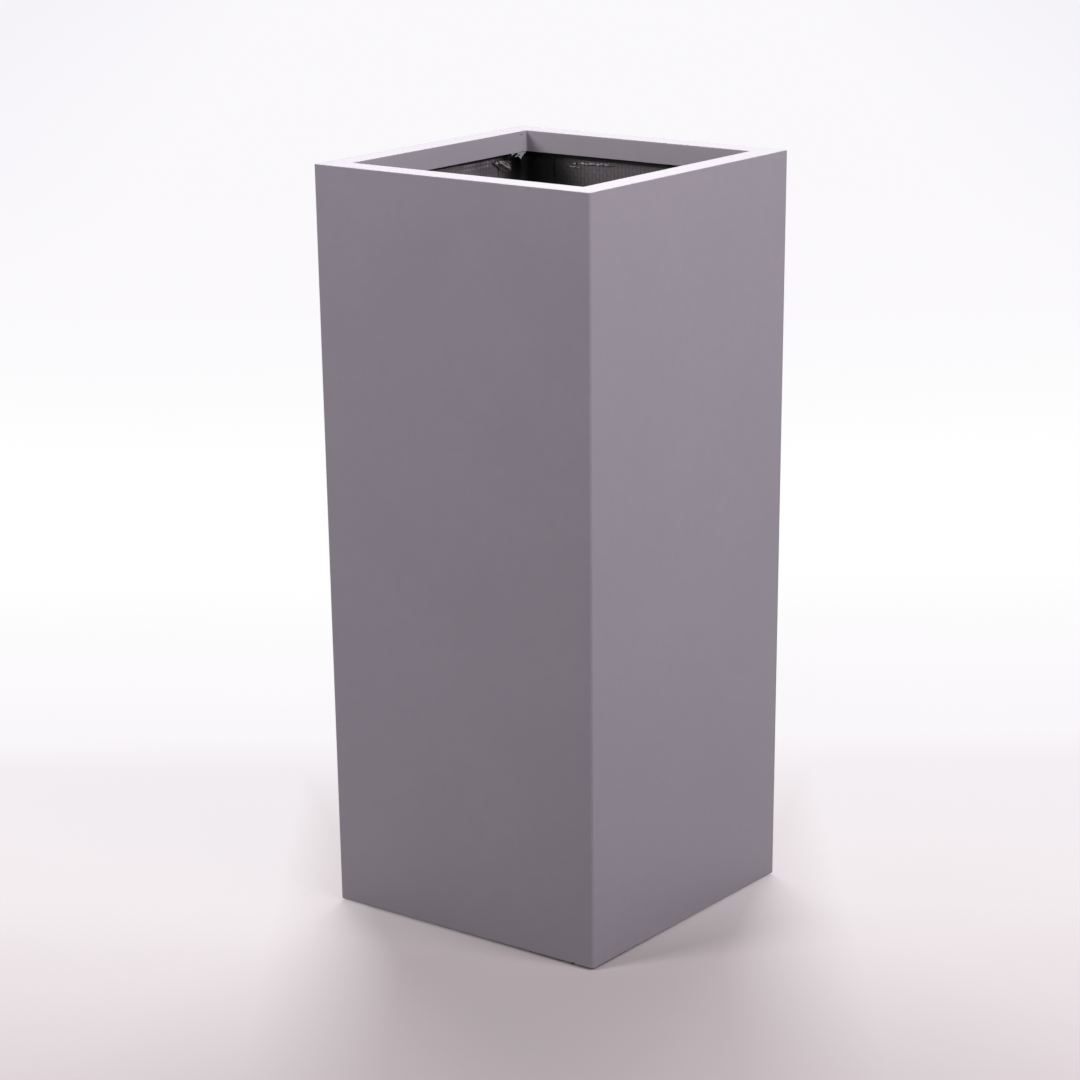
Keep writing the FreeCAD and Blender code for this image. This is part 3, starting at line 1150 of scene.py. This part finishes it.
def rumpledCloth():
    # the loose end of the cloth at the edge of the corner tape, pushed up in folds when it was wet
    piece = patch("rumpled_cloth_end", rumple)
    places = vertexPlaces(piece)
    along, depth = places[:, 0] / mm, -places[:, 1] / mm
    toEdge = np.clip(np.minimum((along - 115) / 6, np.minimum((150 - along) / 8, (48 - depth) / 5)), 0, 1)
    rise = -0.6 + toEdge * (0.8 + 0.35 * ripple(along * 0.55, depth * 0.8, 311))
    # the fold ridges are painted pale: dry glass, and painted highlights where the folds catch light
    dry = np.full_like(along, 0.05)
    for (x1, y1), (x2, y2), height, width, dryness in rumple["folds"]:
        length = math.hypot(x2 - x1, y2 - y1)
        share = ((along - x1) * (x2 - x1) + (depth - y1) * (y2 - y1)) / length ** 2
        nearest = np.clip(share, 0, 1)
        off = np.hypot(along - x1 - nearest * (x2 - x1), depth - y1 - nearest * (y2 - y1))
        fold = np.exp(-(off / width) ** 2) * (0.85 + 0.15 * np.sin(nearest * 9))
        rise = np.maximum(rise, height * fold)
        dry = np.maximum(dry, dryness * np.exp(-(off / (0.75 * width)) ** 2))
    level = collarHigh.z + places[:, 1]
    inner = -(halfWidth(level) - body["lining"] - tapes["skin"])
    setVertexPlaces(piece, np.stack([inner + rise * mm, places[:, 0], level], axis=1))
    keepDryAndLit(piece, dry)
    thicken(piece, rumple["thick"])
    handOver(piece, "roving", "black_roving")


# pale strands along the cloth's upper edge on the back wall, dry glass that also paints the highlight along
# the hem, in millimetres: from and to (left to right), depth below the rim at both ends, and radius at both
# ends
hemStrands = {
    "hem_strand_long": ((-92.6, -45.0), (34.7, 33.2), (1.5, 0.8)),
    "hem_strand_short": ((-98.6, -95.4), (35.0, 35.0), (1.0, 0.9)),
    "hem_strand_low": ((-104.0, -90.0), (38.6, 39.2), (0.5, 0.5)),
}
strand = {"ring": 0.7 * mm, "offWall": 2.2 * mm, "wave": 0.25 * mm}


def hemStrand(name, shape, seed):
    (start, end), depths, radii = (np.array(pair) * mm for pair in shape)
    piece = startPiece(
        name, "cylinder", vertices=12, radius=1, depth=end - start, rotation=(0, math.pi / 2, 0),
        location=((start + end) / 2, 0, 0))
    openEdit(piece)
    sliceAt(0, np.arange(start + strand["ring"], end - strand["ring"] / 2, strand["ring"]))
    closeEdit()
    places = vertexPlaces(piece)
    x = places[:, 0]
    share = (x - start) / (end - start)
    # thick where a yarn ends in it, and tapering to both ends
    knots = 0.72 + 0.28 * np.sin(x / mm * 0.92 + 1.7 * np.sin(x / mm * 0.31) + seed)
    taper = np.sqrt(np.clip(np.minimum(share, 1 - share) * 9, 0, 1) * 0.9 + 0.1)
    radius = (radii[0] + share * (radii[1] - radii[0])) * knots * taper
    depth = depths[0] + share * (depths[1] - depths[0])
    height = collarHigh.z - depth + strand["wave"] * np.sin(x * 410 + seed)
    wallFace = halfWidth(height) - body["lining"] - strand["offWall"]
    y, z = wallFace + places[:, 1] * radius, height + places[:, 2] * radius
    setVertexPlaces(piece, np.stack([x, y, z], axis=1))
    # painted highlight: the strands are palest at their knots
    keepDryAndLit(piece, 0.45 + 0.55 * np.clip((knots - 0.5) * 2.4, 0, 1))
    roundOff(piece)
    handOver(piece, "roving", "black_roving")


for number, (name, shape) in enumerate(hemStrands.items()):
    hemStrand(name, shape, number)
frayedTuft()
rumpledCloth()


def lathe(name, outline, steps, rounding):
    # a profile drawn point by point, rounded where it says, and spun round the upright axis
    piece = startPiece(name, "plane", size=mm, location=(outline[0][0], 0, outline[0][1]))
    openEdit(piece)
    chooseAll()
    bpy.ops.mesh.merge(type="CENTER")
    for here, there in zip(outline, outline[1:]):
        move = (there[0] - here[0], 0, there[1] - here[1])
        bpy.ops.mesh.extrude_vertices_move(TRANSFORM_OT_translate={"value": move})
    for index, radius in rounding.items():
        corner = Vector((outline[index][0], 0, outline[index][1]))
        choose(piece, "VERT", lambda v: (v.co - corner).length < 2 * tiny)
        bpy.ops.mesh.bevel(offset=radius * mm, segments=4, affect="VERTICES", clamp_overlap=False)
    chooseAll()
    bpy.ops.mesh.spin(steps=steps, angle=2 * math.pi, center=(0, 0, 0), axis=(0, 0, 1))
    closeEdit()
    facesOutward(piece)
    smoothFaces(piece, 35, True)
    return piece


sleeve = {
    "bore": 11 * mm, "wall": 2.5 * mm, "flange": 7 * mm, "lead": 0.8 * mm,
    "steps": 72,
    "roundings": {4: 0.3, 5: 0.4, 10: 0.25, 11: 0.25},  # outline point and radius in millimetres
}


def drainSleeve():
    low, seat, top = sleeveLow.z, floorTop, sleeveHigh.z
    bore, lead = sleeve["bore"], sleeve["lead"]
    outer = bore + sleeve["wall"]
    edge = outer + sleeve["flange"]
    outline = [
        (bore, low), (outer, low), (outer, seat), (edge, seat), (edge, top - 0.9 * mm),
        (edge - 1.6 * mm, top), (outer + 2.6 * mm, top), (outer + 2.2 * mm, top - 0.35 * mm),
        (outer + 1.2 * mm, top - 0.35 * mm), (outer + 0.8 * mm, top), (bore + lead, top), (bore, top - lead),
        (bore, low),
    ]
    piece = lathe("drain_sleeve_moulding", outline, sleeve["steps"], sleeve["roundings"])
    handOver(piece, "sleeve", "sleeve_plastic", "drain_sleeve")


bung = {
    "stem": 10.7 * mm, "taper": 1.0 * mm, "flange": 15 * mm, "flangeHeight": 3.5 * mm,
    "neck": 4 * mm, "head": 7 * mm, "headHeight": 4 * mm, "overSleeve": 0.3 * mm,
    "steps": 64,
    "roundings": {
        3: 0.8, 7: 0.5, 8: 0.4, 9: 0.25, 12: 0.25, 13: 1.1, 14: 0.8, 15: 0.9, 16: 1.2, 17: 0.2},
}


def drainBung():
    low, top = bungLow.z, bungHigh.z
    seat = sleeveHigh.z + bung["overSleeve"]
    stem, flange, neck, head = bung["stem"], bung["flange"], bung["neck"], bung["head"]
    ledge = seat + bung["flangeHeight"]
    headLow = top - bung["headHeight"]
    outline = [
        (0, low + 0.8 * mm), (4.5 * mm, low + 0.8 * mm), (5.3 * mm, low), (stem - bung["taper"], low),
        (stem - 0.1 * mm, seat - 1.2 * mm), (stem, seat), (flange, seat), (flange, ledge - 0.9 * mm),
        (flange - 1.0 * mm, ledge - 0.3 * mm), (11.6 * mm, ledge), (10.9 * mm, ledge - 0.5 * mm),
        (9.4 * mm, ledge - 0.5 * mm), (8.7 * mm, ledge), (neck + 0.4 * mm, ledge), (neck, headLow),
        (head, headLow), (head, top), (4.6 * mm, top), (4.0 * mm, top - 0.5 * mm), (0, top - 0.5 * mm),
    ]
    piece = lathe("rubber_bung", outline, bung["steps"], bung["roundings"])
    handOver(piece, "bung", "bung_rubber", "drain_bung", onBody="bung")


pads = {
    "radius": 14 * mm, "edge": 0.6 * mm, "recess": 0.5 * mm, "recessRadius": 8.5 * mm,
    "steps": 48,
    "roundings": {2: 0.3, 3: 0.3, 4: 0.3},
}


def footPads():
    radius, edge, recess, hollow = pads["radius"], pads["edge"], pads["recess"], pads["recessRadius"]
    outline = [
        (0, recess), (hollow, recess), (hollow + edge, 0), (radius - edge, 0), (radius, edge),
        (radius, padTop), (0, padTop),
    ]
    for name in nodes:
        if not name.startswith("foot_pad"):
            continue
        low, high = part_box(name)
        middle = (low + high) / 2
        piece = lathe(name.replace("foot_pad", "rubber_foot"), outline, pads["steps"], pads["roundings"])
        openEdit(piece)
        chooseAll()
        bpy.ops.transform.translate(value=(middle.x, middle.y, 0))
        closeEdit()
        handOver(piece, "pad", "pad_rubber", name)


drainSleeve()
drainBung()
footPads()

# the frame's own nodes get their finish by a part of their name
cadFinishes = {
    "outer_shell": "paint", "rim_collar": "rimPaint",
    "batten_front": "battenAcross", "batten_back": "battenAcross",
    "batten_left": "battenAlong", "batten_right": "battenAlong",
    "roving": "roving", "tape": "tape", "floor_board": "board",
    "sleeve": "sleeve", "bung": "bung", "pad": "pad",
}
for name, node in nodes.items():
    for part, finish in cadFinishes.items():
        if part in name:
            for slot in node.material_slots:
                slot.material = finishes[finish]
print("frame nodes finished")
